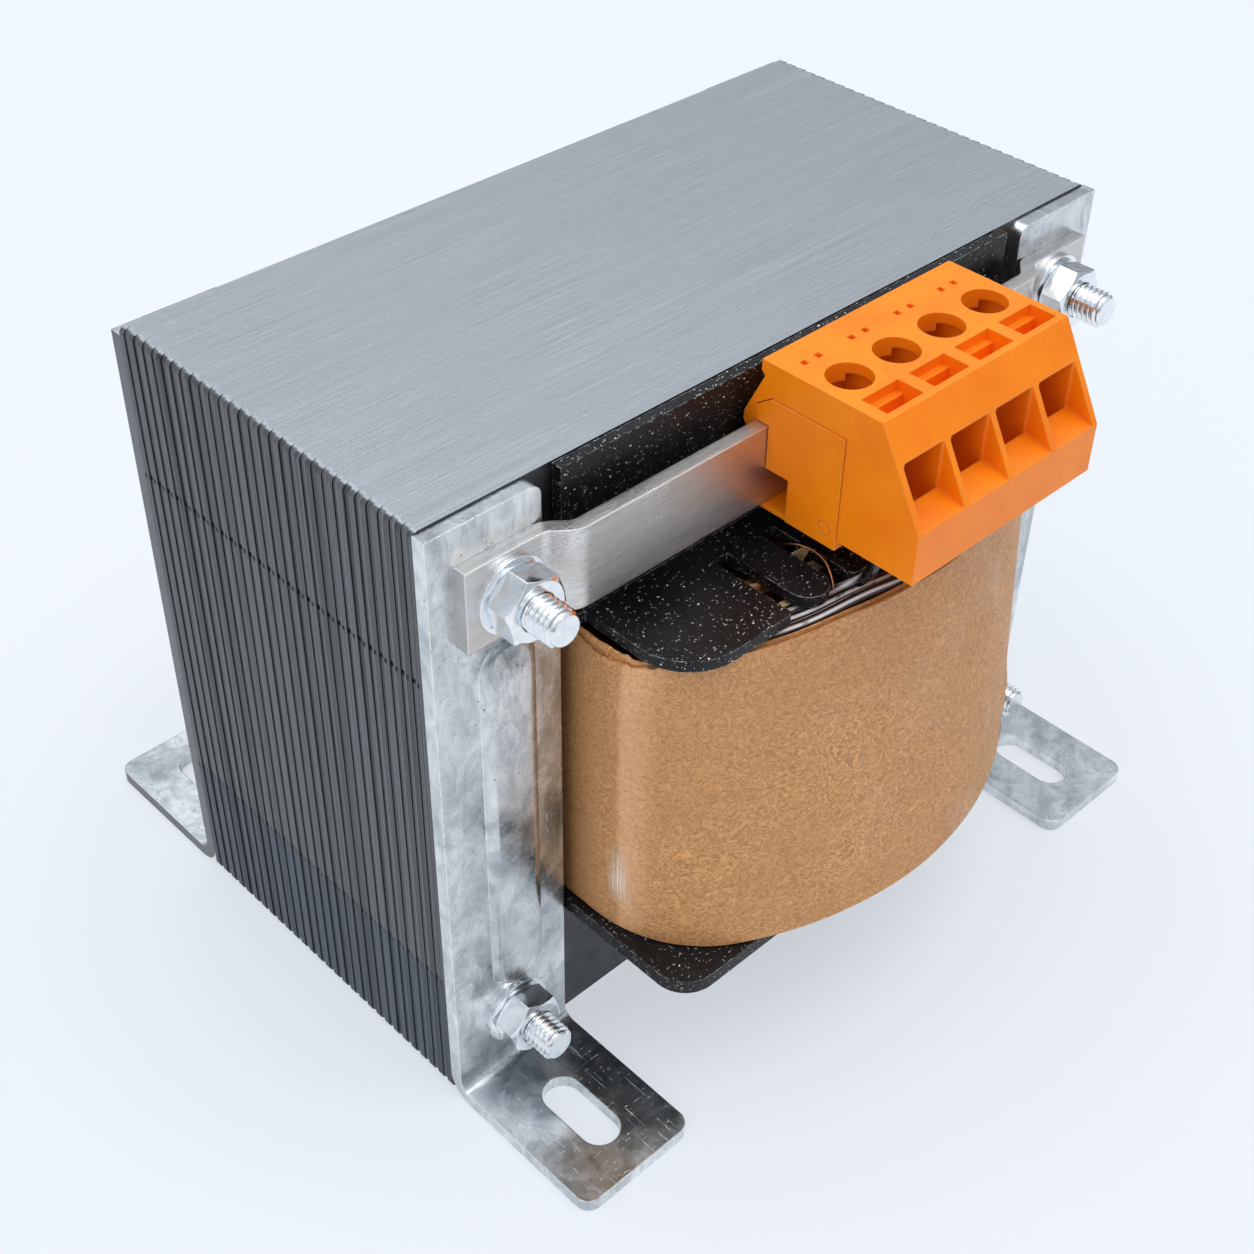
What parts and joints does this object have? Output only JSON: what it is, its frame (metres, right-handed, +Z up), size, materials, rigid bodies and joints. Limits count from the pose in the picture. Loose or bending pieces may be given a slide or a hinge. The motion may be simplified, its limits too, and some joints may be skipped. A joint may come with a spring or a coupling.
{
  "type": "laminated chassis transformer",
  "caption": "Open-frame mains transformer: interleaved E and I plates, a paper-wrapped coil on a flanged bobbin, slotted mounting feet and a screw terminal block on a strap",
  "frame": {"origin": "centre of the footprint, on the plane that the four feet stand on", "axes": "+Z is up; -Y is the terminal side; X runs along the core's width, with the terminal block to the +X side of the middle"},
  "size_m": [0.12, 0.1178, 0.0997],
  "materials": {
    "core_steel": "bare cut edges of silicon steel plates under thin varnish",
    "bobbin_plastic": "black glass-filled nylon",
    "kraft": "varnished brown kraft paper",
    "insulation": "tan insulating paper",
    "copper": "enamelled copper wire under varnish",
    "sleeve": "glossy black sleeving",
    "strap_steel": "brushed steel strip",
    "zinc_steel": "galvanised sheet steel",
    "fastener_steel": "bright zinc plate",
    "orange_plastic": "orange nylon, satin gloss",
    "contact_metal": "tinned brass",
    "clamp_steel": "zinc-plated steel"
  },
  "bodies": {
    "root": {"core_e_upright": "core_steel", "core_e_inverted": "core_steel", "core_i_top": "core_steel", "core_i_bottom": "core_steel", "bobbin": "bobbin_plastic", "primary_winding": "copper", "secondary_winding": "copper", "interlayer_insulation": "insulation", "inner_wrap": "kraft", "outer_wrap": "kraft", "lead_1": "sleeve", "lead_2": "sleeve", "lead_3": "sleeve", "lead_4": "sleeve", "terminal_strap": "strap_steel", "terminal_housing": "orange_plastic", "terminal_end_cover": "orange_plastic", "contact_bar_1": "contact_metal", "clamp_cage_1": "clamp_steel", "clamp_screw_1": "clamp_steel", "contact_bar_2": "contact_metal", "clamp_cage_2": "clamp_steel", "clamp_screw_2": "clamp_steel", "contact_bar_3": "contact_metal", "clamp_cage_3": "clamp_steel", "clamp_screw_3": "clamp_steel", "contact_bar_4": "contact_metal", "clamp_cage_4": "clamp_steel", "clamp_screw_4": "clamp_steel", "bracket_front_left": "zinc_steel", "bracket_front_right": "zinc_steel", "bracket_back_left": "zinc_steel", "bracket_back_right": "zinc_steel", "bolt_upper_left": "fastener_steel", "nut_upper_left": "fastener_steel", "bolt_upper_right": "fastener_steel", "nut_upper_right": "fastener_steel", "bolt_lower_left": "fastener_steel", "nut_lower_left": "fastener_steel", "bolt_lower_right": "fastener_steel", "nut_lower_right": "fastener_steel", "washers": "fastener_steel"}
  },
  "joints": []
}
